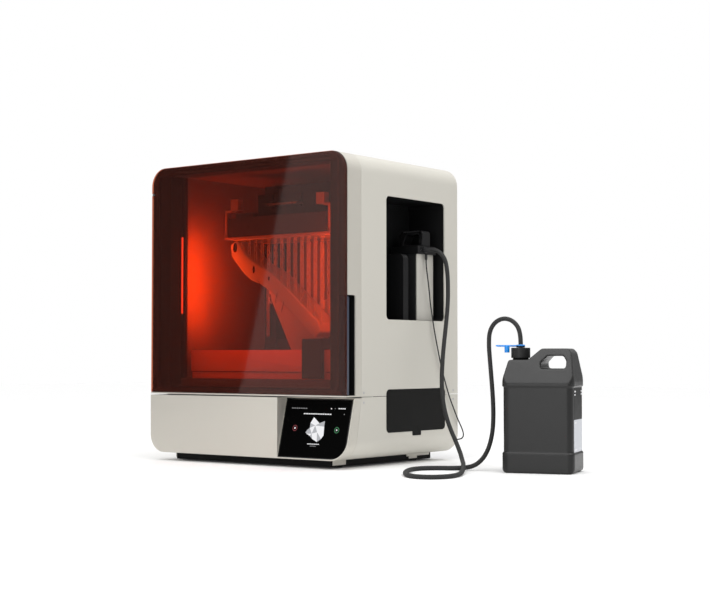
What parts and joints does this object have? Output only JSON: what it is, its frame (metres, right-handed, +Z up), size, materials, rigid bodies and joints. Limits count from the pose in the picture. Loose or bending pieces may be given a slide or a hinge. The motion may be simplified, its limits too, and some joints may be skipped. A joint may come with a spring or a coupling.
{
  "type": "resin printer",
  "caption": "Large enclosed resin printer with tinted swing door, lifting build platform, resin tank and side bay whose pump draws through a hose from a supply jug.",
  "frame": {"origin": "on the floor under the middle of the housing's footprint", "axes": "+X towards the bay side and the jug, +Y towards the back, +Z up; the door faces -Y"},
  "size_m": [1.1559, 0.6205, 0.783],
  "materials": {
    "shell_paint": "satin silver-beige paint",
    "front_plastic": "moulded silver-beige",
    "door_tint": "clear orange-brown tint",
    "black_plastic": "fine texture",
    "dark_plastic": "smooth",
    "grip_plastic": "soft touch",
    "screen_glass": "black glass",
    "steel": "machined",
    "dark_steel": "black powder coat",
    "zinc_sheet": "plain sheet",
    "dark_alloy": "black anodised",
    "engine_case": "moulded",
    "platform_metal": "anodised",
    "tank_plastic": "tinted clear orange",
    "film": "clear film",
    "cured_resin": "cured resin",
    "circuit": "solder mask",
    "light_cover": "diffuser",
    "soft_rubber": "soft",
    "filter_media": "pleated",
    "pump_plate": "satin",
    "jug_plastic": "blow moulded",
    "cap_plastic": "ribbed",
    "blue_plastic": "soft moulded",
    "hose_rubber": "smooth"
  },
  "bodies": {
    "housing": {"upper_shell": "shell_paint", "lower_shell": "shell_paint", "lower_front_panel": "front_plastic", "display_glass": "screen_glass", "display_module": "circuit", "front_frame": "front_plastic", "door_surround": "black_plastic", "door_seal": "soft_rubber", "door_hinges": "steel", "upper_rear_panel": "dark_steel", "lower_rear_panel": "dark_steel", "power_inlet": "black_plastic", "cable_socket": "steel", "cable_plug": "black_plastic", "base_tray": "dark_steel", "rubber_feet": "soft_rubber", "foot_brackets": "shell_paint", "housing_screws": "steel", "filter_block": "filter_media", "cartridge_bay": "black_plastic", "pump_body": "dark_plastic", "pump_side_plate": "pump_plate", "pump_top_cover": "black_plastic", "pump_handle": "black_plastic", "hose_fittings": "black_plastic", "chamber_liner": "dark_alloy", "deck_plate": "dark_alloy", "led_bars": "light_cover", "z_portal": "dark_alloy", "z_rails": "steel", "z_motor": "dark_steel", "lcd_panel": "screen_glass", "light_engine": "engine_case", "power_supply": "zinc_sheet", "control_board": "circuit", "fan_frame": "black_plastic", "jug_body": "jug_plastic", "jug_fitting": "black_plastic", "cap_tether": "blue_plastic", "pump_hose": "hose_rubber", "pump_cable": "hose_rubber"},
    "door": {"door_panel": "door_tint", "door_grip": "grip_plastic"},
    "carriage": {"z_carriage": "dark_alloy", "platform_body": "platform_metal", "build_sheet": "steel", "printed_part": "cured_resin"},
    "leadscrew": {"z_leadscrew": "steel"},
    "lever": {"lock_lever": "steel"},
    "left_handle": {"release_handle_left": "dark_plastic"},
    "right_handle": {"release_handle_right": "dark_plastic"},
    "tank": {"resin_tank": "tank_plastic", "tank_film": "film"},
    "mixer_arm": {"mixer": "dark_plastic"},
    "rocker": {"power_rocker": "black_plastic"},
    "rotor": {"fan_rotor": "black_plastic"},
    "cover": {"side_cover": "dark_plastic"},
    "cap": {"jug_cap": "cap_plastic"}
  },
  "joints": [
    {"name": "door_swing", "type": "hinge", "parent": "housing", "child": "door", "pos_m": [-0.3284, -0.243, 0.45], "axis": [0, 0, -1], "range_deg": [0, 110]},
    {"name": "platform_lift", "type": "slide", "parent": "housing", "child": "carriage", "axis": [0, 0, 1], "range_m": [-0.022, 0.04]},
    {"name": "leadscrew_spin", "type": "hinge", "parent": "housing", "child": "leadscrew", "pos_m": [-0.0125, 0.124, 0.4], "axis": [0, 0, 1], "continuous": true},
    {"name": "lever_tilt", "type": "hinge", "parent": "carriage", "child": "lever", "pos_m": [0.005, -0.07, 0.682], "axis": [-1, 0, 0], "range_deg": [0, 60]},
    {"name": "left_handle_squeeze", "type": "hinge", "parent": "carriage", "child": "left_handle", "pos_m": [-0.177, -0.109, 0.6036], "axis": [0, 1, 0], "range_deg": [0, 6], "stiffness_Nm_per_rad": 2, "springref_deg": -5.73},
    {"name": "right_handle_squeeze", "type": "hinge", "parent": "carriage", "child": "right_handle", "pos_m": [0.179, -0.109, 0.6036], "axis": [0, -1, 0], "range_deg": [0, 6], "stiffness_Nm_per_rad": 2, "springref_deg": -5.73},
    {"name": "tank_slide", "type": "slide", "parent": "housing", "child": "tank", "axis": [0, -1, 0], "range_m": [0, 0.04]},
    {"name": "mixer_slide", "type": "slide", "parent": "tank", "child": "mixer_arm", "axis": [-1, 0, 0], "range_m": [0, 0.38]},
    {"name": "rocker_tilt", "type": "hinge", "parent": "housing", "child": "rocker", "pos_m": [0.253, 0.238, 0.094], "axis": [1, 0, 0], "range_deg": [-5, 5]},
    {"name": "fan_spin", "type": "hinge", "parent": "housing", "child": "rotor", "pos_m": [0, 0.23, 0.632], "axis": [0, 1, 0], "continuous": true},
    {"name": "cover_pull", "type": "slide", "parent": "housing", "child": "cover", "axis": [1, 0, 0], "range_m": [0, 0.02]},
    {"name": "cap_turn", "type": "hinge", "parent": "housing", "child": "cap", "pos_m": [0.67347, 0.00585, 0.285], "axis": [0, 0, 1], "range_deg": [0, 360]}
  ],
  "couplings": [
    {"joint": "leadscrew_spin", "follows": "platform_lift", "rad_per_m": 628.32}
  ]
}
